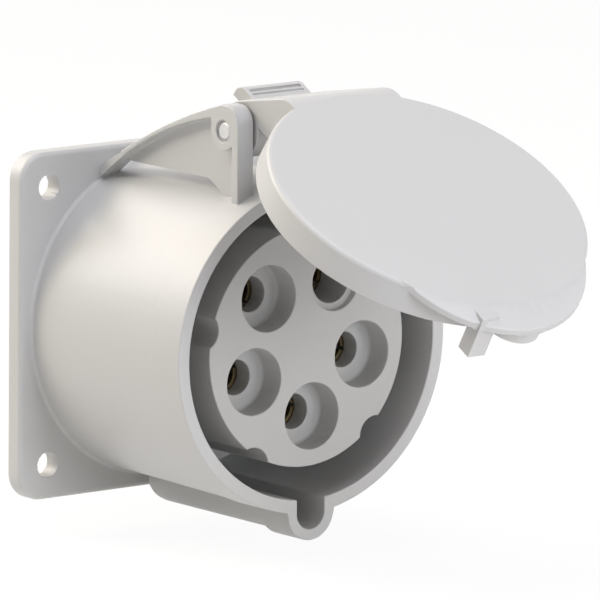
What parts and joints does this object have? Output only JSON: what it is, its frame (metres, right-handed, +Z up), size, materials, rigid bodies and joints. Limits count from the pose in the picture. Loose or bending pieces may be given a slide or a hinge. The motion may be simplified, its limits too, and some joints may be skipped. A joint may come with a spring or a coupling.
{
  "type": "industrial panel socket",
  "caption": "Square flanged industrial panel socket: round shrouded barrel with a key groove, counterbored carrier with slotted brass sleeve contacts, and a sprung hinged lid.",
  "frame": {"origin": "centre of the four flange holes, on the flange's back face where it meets the panel", "axes": "+Y into the panel, so the socket faces -Y; +Z up towards the lid's hinge; +X to the right seen from the front"},
  "size_m": [0.075, 0.1454, 0.0964],
  "materials": {
    "grey_plastic": "satin moulded polyamide",
    "carrier_plastic": "fine matte moulded polyamide",
    "contact_brass": "turned",
    "plated_steel": "zinc plated",
    "seal_rubber": "soft moulded"
  },
  "bodies": {
    "socket": {"housing": "grey_plastic", "insert_front": "carrier_plastic", "insert_rear": "carrier_plastic", "flange_gasket": "seal_rubber", "insert_screws": "plated_steel", "carrier_screw": "plated_steel", "terminal_screws": "plated_steel", "hinge_pin": "plated_steel", "lid_spring": "plated_steel", "contact_pe": "contact_brass", "ring_pe": "plated_steel", "contact_l1": "contact_brass", "ring_l1": "plated_steel", "contact_l2": "contact_brass", "ring_l2": "plated_steel", "contact_l3": "contact_brass", "ring_l3": "plated_steel", "contact_n": "contact_brass", "ring_n": "plated_steel"},
    "lid": {"lid": "grey_plastic", "lid_gasket": "seal_rubber"}
  },
  "joints": [
    {"name": "lid_hinge", "type": "hinge", "parent": "socket", "child": "lid", "pos_m": [0, -0.047, 0.0464], "axis": [-1, 0, 0], "range_deg": [-60, 60], "stiffness_Nm_per_rad": 0.036, "springref_deg": -171.89, "deforming": ["lid_spring"]}
  ]
}
